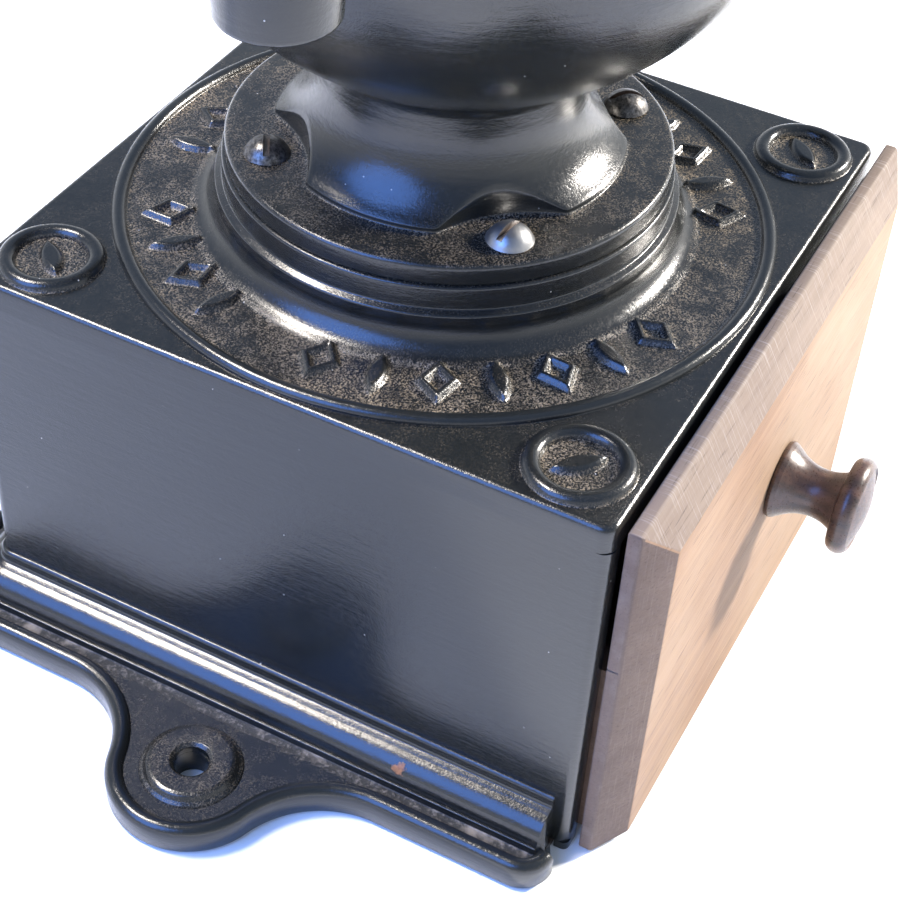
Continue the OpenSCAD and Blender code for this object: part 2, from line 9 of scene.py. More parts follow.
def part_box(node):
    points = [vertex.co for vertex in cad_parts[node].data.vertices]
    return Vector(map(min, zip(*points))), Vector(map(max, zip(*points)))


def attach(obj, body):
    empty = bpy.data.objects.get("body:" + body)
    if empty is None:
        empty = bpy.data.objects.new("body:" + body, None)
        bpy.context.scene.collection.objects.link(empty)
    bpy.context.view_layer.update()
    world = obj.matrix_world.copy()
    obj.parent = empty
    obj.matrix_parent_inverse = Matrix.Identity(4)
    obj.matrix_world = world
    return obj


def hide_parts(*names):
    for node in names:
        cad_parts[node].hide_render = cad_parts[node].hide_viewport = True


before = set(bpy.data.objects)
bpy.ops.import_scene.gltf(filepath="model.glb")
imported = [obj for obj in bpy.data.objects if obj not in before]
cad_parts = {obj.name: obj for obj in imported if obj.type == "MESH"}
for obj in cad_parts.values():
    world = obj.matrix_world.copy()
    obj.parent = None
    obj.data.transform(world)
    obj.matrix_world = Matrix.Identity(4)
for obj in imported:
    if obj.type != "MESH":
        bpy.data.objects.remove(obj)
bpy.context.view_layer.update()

MM = 0.001
PI = math.pi

# ---------- Sizes in millimetres, as in the CAD model ----------

HALF = round(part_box("body_casting")[1].x / MM, 2)
COLLAR_TOP = round(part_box("body_casting")[1].z / MM, 2)
COLLAR_H, PLATE_T, WALL_T = 14, 6, 5
PLATE = COLLAR_TOP - COLLAR_H
PLATE_UNDER = PLATE - PLATE_T
BALL_R, BALL_Z = 65.5, 193.0
RIM_Z, RIM_R = BALL_Z - 6.5, BALL_R + 3.9
NECK_R, COVE_R, COVE_Z = 26.7, 17.7, 127.0
FLANGE_R, FLANGE_TOP = 45.2, COLLAR_TOP + 4.5
FOOT_R = 35.5
SCALLOP_AT, SCALLOP_R = 59.6, 29.5
SCREW_AT = 37.7
ROUNDEL_AT = 57.4
EAR_X, EAR_Y, EAR_R, BLEND_R = 93.5, 5.0, 17.8, 22.0
BASE_HALF = HALF + 14
CRANK = math.radians(-168)
REACH = 101.0


# ---------- Geometry helpers ----------

def arc(cx, cy, r, a, b, n=12):
    """Points on an arc from angle a to angle b, in degrees."""
    t = np.radians(np.linspace(a, b, n + 1))
    return [(cx + r * math.cos(u), cy + r * math.sin(u)) for u in t]


def fillet(points, closed=True, seg=5):
    """Rounds the corners of a polyline of (x, y, radius)."""
    out, n = [], len(points)
    for i, (x, y, r) in enumerate(points):
        if r <= 0 or (not closed and i in (0, n - 1)):
            out.append((x, y))
            continue
        p = np.array((x, y), float)
        a = np.array(points[i - 1][:2], float) - p
        b = np.array(points[(i + 1) % n][:2], float) - p
        la, lb = np.linalg.norm(a), np.linalg.norm(b)
        a, b = a / la, b / lb
        half = math.acos(float(np.clip(a @ b, -1, 1))) / 2
        if half > PI / 2 - 0.002:
            out.append((x, y))
            continue
        d = min(r / math.tan(half), 0.48 * la, 0.48 * lb)
        rr = d * math.tan(half)
        c = p + (a + b) / np.linalg.norm(a + b) * rr / math.sin(half)
        s, e = p + a * d - c, p + b * d - c
        a0 = math.atan2(s[1], s[0])
        turn = (math.atan2(e[1], e[0]) - a0 + PI) % (2 * PI) - PI
        for k in range(seg + 1):
            u = a0 + turn * k / seg
            out.append((c[0] + rr * math.cos(u), c[1] + rr * math.sin(u)))
    return out


def grid(rows, wrap_rows=False, wrap_cols=True):
    """Quads over an array of rows by columns of points."""
    rows = np.asarray(rows, float)
    R, C = rows.shape[:2]
    idx = np.arange(R * C).reshape(R, C)
    i = np.arange(R if wrap_rows else R - 1)
    j = np.arange(C if wrap_cols else C - 1)
    i2, j2 = (i + 1) % R, (j + 1) % C
    faces = np.stack([idx[np.ix_(i, j)], idx[np.ix_(i, j2)], idx[np.ix_(i2, j2)],
                      idx[np.ix_(i2, j)]], -1).reshape(-1, 4)
    return rows.reshape(-1, 3), faces.tolist()


def lathe(profile, n=128, wrap=False):
    """A profile of (radius, height) turned about the Z axis."""
    t = np.linspace(0, 2 * PI, n, endpoint=False)
    p = np.asarray(profile, float)
    rows = np.stack([p[:, :1] * np.cos(t), p[:, :1] * np.sin(t),
                     np.repeat(p[:, 1:], n, 1)], -1)
    return grid(rows, wrap_rows=wrap)


def extrude(outline, low, high):
    """A closed outline between two heights, which may be functions of the point."""
    o = np.asarray(outline, float)
    zl = np.array([low(p) if callable(low) else low for p in o])
    zh = np.array([high(p) if callable(high) else high for p in o])
    verts = np.vstack([np.c_[o, zl], np.c_[o, zh]])
    n = len(o)
    faces = [[i, (i + 1) % n, n + (i + 1) % n, n + i] for i in range(n)]
    faces += [list(range(n))[::-1], list(range(n, 2 * n))]
    return verts, faces


def placed(part, matrix):
    verts, faces = part
    m = np.array(matrix)
    return verts @ m[:3, :3].T + m[:3, 3], faces


def turned(part, angle, x=0.0, y=0.0, z=0.0):
    """The part turned about Z by an angle in radians and then moved."""
    return placed(part, Matrix.Translation((x, y, z)) @ Matrix.Rotation(angle, 4, "Z"))


def mesh_object(name, parts, weld=True):
    verts, faces, base = [], [], 0
    for v, f in parts:
        verts.append(v)
        faces += [[i + base for i in face] for face in f]
        base += len(v)
    mesh = bpy.data.meshes.new(name)
    mesh.from_pydata((np.vstack(verts) * MM).tolist(), [], faces)
    bm = bmesh.new()
    bm.from_mesh(mesh)
    if weld:
        bmesh.ops.remove_doubles(bm, verts=bm.verts, dist=1e-7)
        bmesh.ops.dissolve_degenerate(bm, edges=bm.edges, dist=1e-8)
    bmesh.ops.recalc_face_normals(bm, faces=bm.faces)
    bm.to_mesh(mesh)
    bm.free()
    obj = bpy.data.objects.new(name, mesh)
    bpy.context.scene.collection.objects.link(obj)
    return obj


def applied(obj):
    """Applies the object's modifiers to its mesh."""
    graph = bpy.context.evaluated_depsgraph_get()
    obj.data = bpy.data.meshes.new_from_object(obj.evaluated_get(graph))
    obj.modifiers.clear()
    return obj


def cut(obj, parts):
    """Takes solids away from the object."""
    tool = mesh_object("cutter", parts)
    m = obj.modifiers.new("cut", "BOOLEAN")
    m.object = tool
    m.operation = "DIFFERENCE"
    m.solver = "EXACT"
    applied(obj)
    bpy.data.objects.remove(tool)
    return obj


def bevelled(obj, width, seg=3, angle=30):
    m = obj.modifiers.new("edges", "BEVEL")
    m.width = width * MM
    m.segments = seg
    m.limit_method = "ANGLE"
    m.angle_limit = math.radians(angle)
    return applied(obj)


def finish_piece(obj, body, material, nodes=(), dust=None, sharp=38):
    """Shading, wear attribute, material, and what the frame needs to know."""
    mesh = obj.data
    mesh.polygons.foreach_set("use_smooth", [True] * len(mesh.polygons))
    mesh.set_sharp_from_angle(angle=math.radians(sharp))
    if dust is not None:
        co = np.zeros(len(mesh.vertices) * 3)
        mesh.vertices.foreach_get("co", co)
        x, y, z = co.reshape(-1, 3).T / MM
        layer = mesh.attributes.new("dust", "FLOAT", "POINT")
        layer.data.foreach_set("value", np.clip(dust(x, y, z), 0, 1).astype(np.float32))
    mesh.materials.clear()
    mesh.materials.append(material)
    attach(obj, body)
    if nodes:
        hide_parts(*nodes)
    return obj


def smooth(t):
    t = np.clip(t, 0, 1)
    return t * t * (3 - 2 * t)


# ---------- Material helpers ----------

class Shader:
    """Short names for building a node material."""

    def __init__(self, name):
        self.mat = bpy.data.materials.new(name)
        self.mat.use_nodes = True
        self.tree = self.mat.node_tree
        self.bsdf = self.tree.nodes["Principled BSDF"]
        self.coord = self.tree.nodes.new("ShaderNodeTexCoord").outputs["Object"]

    def node(self, kind, inputs=(), **props):
        n = self.tree.nodes.new(kind)
        for k, v in props.items():
            setattr(n, k, v)
        for key, v in dict(inputs).items():
            self.put(n.inputs[key], v)
        return n

    def put(self, socket, value):
        if isinstance(value, bpy.types.NodeSocket):
            self.tree.links.new(value, socket)
        elif isinstance(value, tuple) and len(value) == 3 and socket.type == "RGBA":
            socket.default_value = (*value, 1)
        else:
            socket.default_value = value

    def scaled(self, x, y, z):
        return self.node("ShaderNodeMapping", {"Vector": self.coord, "Scale": (x, y, z)}).outputs[0]

    def noise(self, scale, detail=3.0, rough=0.55, vector=None, distortion=0.0):
        n = self.node("ShaderNodeTexNoise", {"Vector": vector or self.coord, "Scale": scale,
                                             "Detail": detail, "Roughness": rough,
                                             "Distortion": distortion})
        return n.outputs["Fac"]

    def cells(self, scale, output="Distance"):
        n = self.node("ShaderNodeTexVoronoi", {"Vector": self.coord, "Scale": scale},
                      feature="F1")
        return n.outputs[output]

    def ramp(self, fac, low, high, out_low=0.0, out_high=1.0):
        n = self.node("ShaderNodeMapRange", {"Value": fac, "From Min": low, "From Max": high,
                                             "To Min": out_low, "To Max": out_high})
        return n.outputs[0]

    def math(self, op, a, b=0.0):
        n = self.node("ShaderNodeMath", operation=op)
        self.put(n.inputs[0], a)
        self.put(n.inputs[1], b)
        return n.outputs[0]

    def mix(self, fac, a, b):
        n = self.node("ShaderNodeMix", data_type="RGBA")
        self.put(n.inputs[0], fac)
        self.put(n.inputs[6], a)
        self.put(n.inputs[7], b)
        return n.outputs[2]

    def bump(self, height, strength, distance, normal=None):
        inputs = {"Height": height, "Strength": strength, "Distance": distance}
        if normal is not None:
            inputs["Normal"] = normal
        return self.node("ShaderNodeBump", inputs).outputs[0]

    def set(self, **values):
        for name, v in values.items():
            self.put(self.bsdf.inputs[name.replace("_", " ")], v)
        return self.mat

    def facing_up(self):
        normal = self.node("ShaderNodeNewGeometry").outputs["Normal"]
        return self.node("ShaderNodeSeparateXYZ", {"Vector": normal}).outputs[2]

    def near(self, point, radius, wobble):
        """1 inside a rough blob about a point, 0 outside."""
        d = self.node("ShaderNodeVectorMath", operation="DISTANCE")
        self.put(d.inputs[0], self.coord)
        self.put(d.inputs[1], tuple(v * MM for v in point))
        edge = self.math("ADD", d.outputs["Value"], self.ramp(wobble, 0, 1, -radius * MM, radius * MM))
        return self.ramp(edge, radius * MM * 0.9, radius * MM * 1.15, 1, 0)


# Black enamel over sand-cast iron, dusty where things settle, with one rusted chip
def iron_material():
    s = Shader("black_enamelled_iron")
    grain = s.noise(2600, 2, 0.6)
    peel = s.noise(820, 3, 0.6)
    lines = s.noise(900, 2, 0.6, s.scaled(0.12, 0.12, 1))
    broad = s.noise(60, 4, 0.6)
    dust = s.node("ShaderNodeAttribute", attribute_name="dust").outputs["Fac"]
    up = s.ramp(s.facing_up(), 0.2, 0.9)
    patch = s.ramp(s.noise(170, 5, 0.7), 0.42, 0.62)
    speckle = s.ramp(s.noise(2700, 3, 0.7), 0.47, 0.64)
    hollow = s.node("ShaderNodeAmbientOcclusion", {"Distance": 0.005}, samples=8).outputs["AO"]
    hollow = s.ramp(hollow, 0.95, 0.45)
    cover = s.math("MULTIPLY", s.math("ADD", s.ramp(patch, 0, 1, 0.12, 0.62), hollow), speckle)
    cover = s.math("MULTIPLY", s.math("MULTIPLY", cover, dust), up)
    cover = s.math("MINIMUM", cover, 0.85)
    dots = s.ramp(s.cells(330), 0.06, 0.03)
    lucky = s.ramp(s.cells(330, output="Color"), 0.80, 0.82)
    dots = s.math("MULTIPLY", dots, lucky)
    chip = s.near((-76.9, -33.9, 11.2), 1.7, s.noise(650, 4, 0.7))
    paint = s.mix(broad, (0.0055, 0.0062, 0.0064), (0.011, 0.0132, 0.0134))
    colour = s.mix(cover, paint, (0.40, 0.315, 0.215))
    colour = s.mix(s.math("MULTIPLY", dots, 0.75), colour, (0.62, 0.6, 0.56))
    rust = s.mix(s.noise(1800, 2), (0.09, 0.03, 0.014), (0.34, 0.15, 0.055))
    colour = s.mix(chip, colour, rust)
    rough = s.math("ADD", s.ramp(peel, 0.3, 0.7, 0.17, 0.27), s.math("MULTIPLY", cover, 0.45))
    rough = s.math("ADD", rough, s.math("MULTIPLY", chip, 0.4))
    normal = s.bump(peel, 0.16, 0.00025)
    normal = s.bump(lines, 0.30, 0.00018, normal)
    normal = s.bump(grain, 0.36, 0.00012, normal)
    normal = s.bump(s.math("ADD", cover, chip), 0.4, 0.00015, normal)
    return s.set(Base_Color=colour, Roughness=rough, Normal=normal, Coat_Weight=0.2,
                 Coat_Roughness=0.14, Specular_IOR_Level=0.5)


# Dark wall of the groove beside the kerb shows through this rougher iron
def rough_iron_material():
    s = Shader("rough_cast_iron")
    coarse = s.noise(900, 4, 0.75)
    broad = s.noise(110, 3, 0.6)
    colour = s.mix(s.ramp(coarse, 0.5, 0.66), (0.010, 0.011, 0.013), (0.15, 0.135, 0.12))
    colour = s.mix(s.ramp(broad, 0.62, 0.74), colour, (0.22, 0.19, 0.16))
    normal = s.bump(coarse, 0.9, 0.0005)
    return s.set(Base_Color=colour, Roughness=s.ramp(coarse, 0.3, 0.7, 0.4, 0.7), Normal=normal,
                 Specular_IOR_Level=0.5)


def steel_material(name, dark, light, rough_low, rough_high, rust=0.0, worn_at=None):
    s = Shader(name)
    fine = s.noise(1400, 3, 0.65)
    broad = s.noise(260, 3, 0.6)
    hollow = s.node("ShaderNodeAmbientOcclusion", {"Distance": 0.002}, samples=8).outputs["AO"]
    brown = s.math("MULTIPLY", s.ramp(hollow, 0.85, 0.35), rust)
    colour = s.mix(s.ramp(fine, 0.35, 0.68), dark, light)
    colour = s.mix(s.ramp(broad, 0.55, 0.75, 0, 0.5), colour, dark)
    if worn_at:
        colour = s.mix(s.near(worn_at, 8, fine), colour, (0.30, 0.30, 0.30))
    colour = s.mix(brown, colour, (0.07, 0.042, 0.028))
    normal = s.bump(fine, 0.3, 0.00012)
    return s.set(Base_Color=colour, Metallic=s.ramp(brown, 0, 1, 0.9, 0.1), Normal=normal,
                 Roughness=s.ramp(broad, 0.3, 0.7, rough_low, rough_high))


# Bare weathered walnut with the grain along X
def walnut_material(name, pale, dark, bleach, saw=0.0):
    s = Shader(name)
    bands = s.noise(190, 4, 0.6, s.scaled(0.03, 1, 1), 0.3)
    fibre = s.noise(1700, 3, 0.7, s.scaled(0.02, 1, 1))
    pores = s.ramp(s.noise(2300, 2, 0.6, s.scaled(0.045, 1, 1)), 0.61, 0.70)
    cuts = s.noise(2600, 2, 0.6, s.scaled(1, 0.04, 0.04))
    cloud = s.noise(14, 3, 0.55)
    colour = s.mix(s.ramp(bands, 0.30, 0.70), dark, pale)
    colour = s.mix(s.ramp(fibre, 0.3, 0.7, 0, 0.35), colour, dark)
    colour = s.mix(s.ramp(cloud, 0.35, 0.7, 0, bleach), colour, (0.50, 0.405, 0.295))
    colour = s.mix(s.math("MULTIPLY", pores, 0.55), colour, (0.05, 0.032, 0.025))
    colour = s.mix(s.ramp(cuts, 0.55, 0.68, 0, saw), colour, (0.34, 0.30, 0.27))
    normal = s.bump(fibre, 0.3, 0.0002)
    normal = s.bump(cuts, 0.4 * saw, 0.0002, normal)
    normal = s.bump(pores, -0.3, 0.00012, normal)
    return s.set(Base_Color=colour, Roughness=s.ramp(fibre, 0.3, 0.7, 0.58, 0.75), Normal=normal,
                 Specular_IOR_Level=0.35)


def turned_wood_material():
    s = Shader("dark_turned_wood")
    grain = s.noise(480, 4, 0.65, s.scaled(1, 0.12, 0.9))
    fine = s.noise(2000, 2, 0.6)
    worn = s.ramp(s.noise(120, 3, 0.6), 0.55, 0.75)
    colour = s.mix(s.ramp(grain, 0.35, 0.7), (0.030, 0.017, 0.013), (0.105, 0.056, 0.038))
    colour = s.mix(s.math("MULTIPLY", worn, 0.5), colour, (0.15, 0.075, 0.045))
    normal = s.bump(grain, 0.2, 0.0002)
    normal = s.bump(fine, 0.15, 0.0001, normal)
    return s.set(Base_Color=colour, Roughness=s.ramp(fine, 0.3, 0.7, 0.24, 0.4), Normal=normal,
                 Coat_Weight=0.2, Coat_Roughness=0.2)


IRON = iron_material()
ROUGH_IRON = rough_iron_material()
FRONT_SCREW = (-SCREW_AT * math.sqrt(0.5), -SCREW_AT * math.sqrt(0.5), COLLAR_TOP + 6)
SCREW = steel_material("darkened_screw_steel", (0.035, 0.034, 0.034), (0.20, 0.19, 0.18),
                       0.28, 0.45, 0.9, FRONT_SCREW)
BRIGHT = steel_material("machined_steel", (0.22, 0.22, 0.22), (0.48, 0.47, 0.46), 0.22, 0.38, 0.3)
BRASS = steel_material("aged_brass", (0.30, 0.20, 0.08), (0.66, 0.48, 0.20), 0.25, 0.42, 0.2)
WALNUT = walnut_material("bare_walnut_front", (0.262, 0.160, 0.097), (0.190, 0.113, 0.069), 0.32)
TOP_WALNUT = walnut_material("weathered_walnut_top", (0.20, 0.150, 0.118), (0.145, 0.105, 0.083),
                             0.14, 0.4)
# End-grain walnut for both ends of the board: darker as end grain, and darkened further as painted shade
# on those shaded end faces
END_GRAIN_AND_SHADE_WALNUT = walnut_material("weathered_walnut_ends_painted_shade", (0.125, 0.086, 0.068), (0.095, 0.063, 0.050),
                             0.05, 0.1)
# Drawer's inside walnut, painted darker as shade for the narrow gap between the front board and the box
INNER_WALNUT_SHADED = walnut_material("bare_walnut_inside_painted_shade", (0.20, 0.12, 0.08), (0.11, 0.06, 0.04), 0.1)
TURNED = turned_wood_material()


# ---------- Box: top plate with its relief, and collar ----------

FRIEZE = [(-177, -107, 7), (-62, -6, 6), (16, 100, 8), (125, 157, 4)]
FRIEZE_R = 56.4


def frieze_height(x, y):
    """Height of the soft-edged lozenges and leaves around the collar."""
    h = np.zeros_like(x)
    for a, b, count in FRIEZE:
        for i in range(count):
            t = math.radians(a + (b - a) * i / (count - 1))
            u = x * math.cos(t) + y * math.sin(t) - FRIEZE_R
            v = -x * math.sin(t) + y * math.cos(t)
            if i % 2 == 0:
                outer = diamond_distance(u, v, 11.6, 8.4)
                inner = diamond_distance(u, v, 5.6, 4.0)
                depth = np.minimum(outer, -inner)
            else:
                depth = leaf_distance(u, v, 11.2, 3.9)
            h = np.maximum(h, 1.25 * np.sin(PI / 2 * np.clip((depth + 0.3) / 1.25, 0, 1)))
    return h


def diamond_distance(u, v, length, width):
    k = 1 / math.hypot(2 / length, 2 / width)
    return (1 - np.abs(u) * 2 / length - np.abs(v) * 2 / width) * k


def leaf_distance(u, v, length, width):
    r = (length ** 2 + width ** 2) / 4 / width
    off = r - width / 2
    return r - np.maximum(np.hypot(u, v - off), np.hypot(u, v + off))


def square_radius(t, half, corner):
    """Distance from the centre to a rounded square in direction t."""
    c, s = np.abs(np.cos(t)), np.abs(np.sin(t))
    flat = half / np.maximum(c, s)
    k = half - corner
    b = k * (c + s)
    round_part = b + np.sqrt(np.maximum(b * b - 2 * k * k + corner * corner, 0))
    along = np.minimum(c, s) / np.maximum(c, s) * half
    return np.where(along > k, round_part, flat)


def top_casting():
    n = 1200
    t = np.linspace(0, 2 * PI, n, endpoint=False)
    profile = fillet([(32.05, COLLAR_TOP, 0), (45.9, COLLAR_TOP, 0.6), (45.9, PLATE + 9, 0.4),
                      (47.4, PLATE + 8.4, 0.5), (47.4, PLATE + 6.2, 0.3)], closed=False, seg=4)
    profile += arc(53.4, PLATE + 6.4, 6.2, 186, 250, 12)
    profile += [(51.9, PLATE + 0.35), (52.4, PLATE + 0.1)]
    profile += [(r, PLATE) for r in np.arange(52.8, 65.0, 0.33)]
    profile += [(65.05, PLATE + 0.05), (65.3, PLATE + 0.2)]
    profile += arc(66.9, PLATE - 0.1, 1.6, 165, 15, 12)
    profile += [(68.46, PLATE + 0.12)]
    rows = []
    for r, z in profile:
        x, y = r * np.cos(t), r * np.sin(t)
        rows.append(np.stack([x, y, np.full(n, z)], -1))
    inner = square_radius(t, HALF - 1.4, 1.6)
    for s in smooth(np.linspace(0, 1, 26))[1:]:
        r = 68.46 + s * (np.maximum(inner, 68.6) - 68.46)
        rows.append(np.stack([r * np.cos(t), r * np.sin(t), np.full(n, PLATE)], -1))
    for a in np.radians(np.linspace(0, 90, 7))[1:]:
        half = HALF - 1.4 + 1.4 * math.sin(a)
        r = square_radius(t, half, 1.6 + 1.4 * math.sin(a))
        z = PLATE - 1.4 + 1.4 * math.cos(a)
        rows.append(np.stack([r * np.cos(t), r * np.sin(t), np.full(n, z)], -1))
    edge = square_radius(t, HALF, 3)
    for z in (PLATE - 3, PLATE_UNDER):
        rows.append(np.stack([edge * np.cos(t), edge * np.sin(t), np.full(n, z)], -1))
    for r, z in [(60, PLATE_UNDER), (38.6, PLATE_UNDER), (38, PLATE_UNDER - 0.6), (38, PLATE - 13.5),
                 (37.5, PLATE - 14), (28, PLATE - 14), (28, PLATE - 8), (32.05, PLATE - 8)]:
        rows.append(np.stack([r * np.cos(t), r * np.sin(t), np.full(n, z)], -1))
    rows = np.array(rows)
    top = (rows[..., 2] > PLATE - 0.05) & (rows[..., 2] < PLATE + 0.5)
    rows[..., 2] += np.where(top, frieze_height(rows[..., 0], rows[..., 1]), 0)
    # the cast plate isn't dead flat
    wave = 0.09 * np.sin(rows[..., 0] * 0.31 + 1) * np.sin(rows[..., 1] * 0.27)
    rows[..., 2] += np.where(top, wave * smooth((68 - np.hypot(rows[..., 0], rows[..., 1])) / 4), 0)
    return mesh_object("box_top_and_collar", [grid(rows, wrap_rows=True)], weld=False)


def plate_dust(x, y, z):
    r = np.hypot(x, y)
    d = np.where(r < 66, 1.0, 0.12)
    d = np.where((r < 51.5), 0.5, d)
    d = np.where(z > PLATE + 3, 0.35, d)
    return np.where(z > PLATE + 0.75, d * 0.22, d)


finish_piece(top_casting(), "mill_frame", IRON, ["body_casting"], plate_dust)

INNER = HALF - WALL_T
wall_plan = fillet([(-HALF, -HALF, 3), (-HALF, HALF, 3), (HALF, HALF, 3), (HALF, -HALF, 3),
                    (INNER, -HALF, 0.4), (INNER, INNER, 2), (-INNER, INNER, 2), (-INNER, -HALF, 0.4)])
feet = [extrude(fillet([(s * HALF, -HALF, 3), (s * HALF, -HALF + 2.9, 0), (s * INNER, -HALF + 2.9, 0),
                        (s * INNER, -HALF, 0.4)]), 0, 2.05) for s in (-1, 1)]
walls = mesh_object("box_walls", [extrude(wall_plan, 2.05, PLATE_UNDER)] + feet, weld=False)
finish_piece(walls, "mill_frame", IRON)

# Roundels: a raised ring with a leaf across its sunk middle


def roundel(index, x, y, angle):
    n = 128
    t = np.linspace(0, 2 * PI, n, endpoint=False)
    rs = np.concatenate([[0.001], np.arange(0.3, 11.2, 0.22)])
    rr, tt = np.meshgrid(rs, t, indexing="ij")
    u, v = rr * np.cos(tt), rr * np.sin(tt)
    ring = 1.75 * np.sqrt(np.clip(1 - ((rr - 8.8) / 1.85) ** 2, 0, 1))
    dish = 0.12 * smooth((10.9 - rr) / 0.6)
    leaf = leaf_distance(u * math.cos(angle) + v * math.sin(angle),
                         -u * math.sin(angle) + v * math.cos(angle), 11.5, 4.6)
    leaf_h = 1.35 * np.sin(PI / 2 * np.clip((leaf + 0.3) / 1.5, 0, 1))
    h = np.maximum(np.maximum(ring, leaf_h), dish) - 0.06 * smooth((rr - 10.6) / 0.4)
    rows = np.stack([x + u, y + v, PLATE + h], -1)
    low = rows[-1:] * [1, 1, 0] + [0, 0, PLATE - 1]
    low_in = np.repeat([[[x, y, PLATE - 1]]], n, 1)
    obj = mesh_object(f"roundel_{index}", [grid(np.concatenate([rows, low, low_in]))])
    dust = lambda a, b, z: np.where(z < PLATE + 0.8, 0.9, 0.1)
    finish_piece(obj, "mill_frame", IRON, dust=dust, sharp=60)


for i, (sx, sy, a) in enumerate([(-1, -1, -45), (1, -1, 45), (1, 1, -45), (-1, 1, 45)]):
    roundel(i + 1, sx * ROUNDEL_AT, sy * ROUNDEL_AT, math.radians(a))


# ---------- Base moulding with its ears ----------

def base_path():
    """Stations on the right-hand half of the outline: x, y, outward normal."""
    blend_dx = BASE_HALF + BLEND_R - EAR_X
    blend_dy = math.sqrt((EAR_R + BLEND_R) ** 2 - blend_dx ** 2)
    lean = math.degrees(math.atan2(blend_dy, blend_dx))
    bx = BASE_HALF + BLEND_R

    def along(cx, cy, r, a, b, n, flip=1):
        u = np.radians(np.linspace(a, b, n + 1))
        return [(cx + r * math.cos(k), cy + r * math.sin(k), flip * math.cos(k), flip * math.sin(k))
                for k in u]

    def line(y0, y1, n):
        return [(BASE_HALF, y, 1.0, 0.0) for y in np.linspace(y0, y1, n + 1)]

    path = along(BASE_HALF - 7, 7 - HALF, 7, -90, 0, 12)
    path += line(7.5 - HALF, EAR_Y - blend_dy - 0.5, 20)
    path += along(bx, EAR_Y - blend_dy, BLEND_R, 180, 180 - lean, 26, -1)
    path += along(EAR_X, EAR_Y, EAR_R, -lean, lean, 56)[1:]
    path += along(bx, EAR_Y + blend_dy, BLEND_R, 180 + lean, 180, 26, -1)[1:]
    path += line(EAR_Y + blend_dy + 0.5, HALF - 3 - 0.5, 16)
    path += along(HALF - 3, HALF - 3, 17, 0, 90, 20)
    path += [(x, BASE_HALF, 0.0, 1.0) for x in np.linspace(HALF - 3.5, 0.5, 40)]
    return np.array(path)


KERB = 3.9


def base_ring():
    right = base_path()
    left = right[::-1] * [-1, 1, -1, 1]
    path = np.vstack([right, left])
    p, nrm = path[:, :2], path[:, 2:]
    kerb_in = p - nrm * KERB
    # the wall point that faces each station, and the wall's outward normal there
    k = HALF - 3
    core = np.stack([np.clip(kerb_in[:, 0], -k, k), np.clip(kerb_in[:, 1], -HALF, k)], -1)
    wall_n = kerb_in - core
    front = kerb_in[:, 1] < -HALF + 0.001
    wall_n[front, 1] = 0
    side = np.abs(core[:, 0]) > k - 0.001
    straight = side & (core[:, 1] < k - 0.001)
    wall_n[straight] = np.stack([np.sign(core[straight, 0]), np.zeros(straight.sum())], -1)
    wall_n /= np.linalg.norm(wall_n, axis=1)[:, None]
    # the first and last stations lie on the front plane
    wall = core + wall_n * 3

    def at(x, z):
        return np.c_[wall + wall_n * x, np.full(len(p), z)]

    profile = fillet([(-0.5, 16, 0), (0.6, 16, 0.4), (1.05, 15.4, 0.3), (1.1, 13.7, 0.4),
                      (1.4, 13.1, 0.3), (2.6, 12.7, 0.3)], closed=False, seg=3)
    profile += arc(1.6, 7.2, 5.5, 78, 6, 14)
    profile += fillet([(7.15, 7.6, 0), (7.25, 6.95, 0.15), (7.5, 7.5, 0.25), (8.0, 7.45, 0.25),
                       (8.2, 6.0, 0.3), (8.5, 5.75, 0)], closed=False, seg=3)
    rows = [at(x, z) for x, z in profile]
    inner_edge = wall + wall_n * 8.5
    for s in np.linspace(0, 1, 14)[1:]:
        q = inner_edge + (kerb_in - inner_edge) * s
        rows.append(np.c_[q, np.full(len(q), 5.75)])
    for a in np.linspace(168, 0, 15):
        ca, sa = math.cos(math.radians(a)), math.sin(math.radians(a))
        rows.append(np.c_[p - nrm * KERB / 2 * (1 - ca), np.full(len(p), 5.2 + 2.0 * sa)])
    rows.append(np.c_[p - nrm * 0.1, np.full(len(p), 1.0)])
    rows.append(np.c_[p - nrm * 0.6, np.full(len(p), 0.1)])
    rows.append(np.c_[p - nrm * 2, np.zeros(len(p))])
    rows.append(np.c_[wall + wall_n * 6.2, np.zeros(len(p))])
    recess = np.where(p[:, 1] < 3 - HALF, 0.0, 2.05)
    rows.append(np.c_[wall + wall_n * 6.1, recess])
    rows.append(np.c_[wall - wall_n * 0.5, recess])
    rows = np.array(rows)
    v, f = grid(np.transpose(rows, (1, 0, 2)), wrap_rows=False, wrap_cols=True)
    count = rows.shape[0]
    last = (len(p) - 1) * count
    f += [list(range(count)), [last + i for i in range(count)][::-1]]
    return v, f


base = mesh_object("base_moulding_and_ears", [base_ring()], weld=False)
hole = lathe([(0.0, -3), (3.7, -3), (3.7, 20), (0.0, 20)], 64)
cut(base, [turned(hole, 0, s * EAR_X, EAR_Y) for s in (-1, 1)])


def base_dust(x, y, z):
    return np.where((z < 6.6) & (z > 5), 0.16, 0.03)


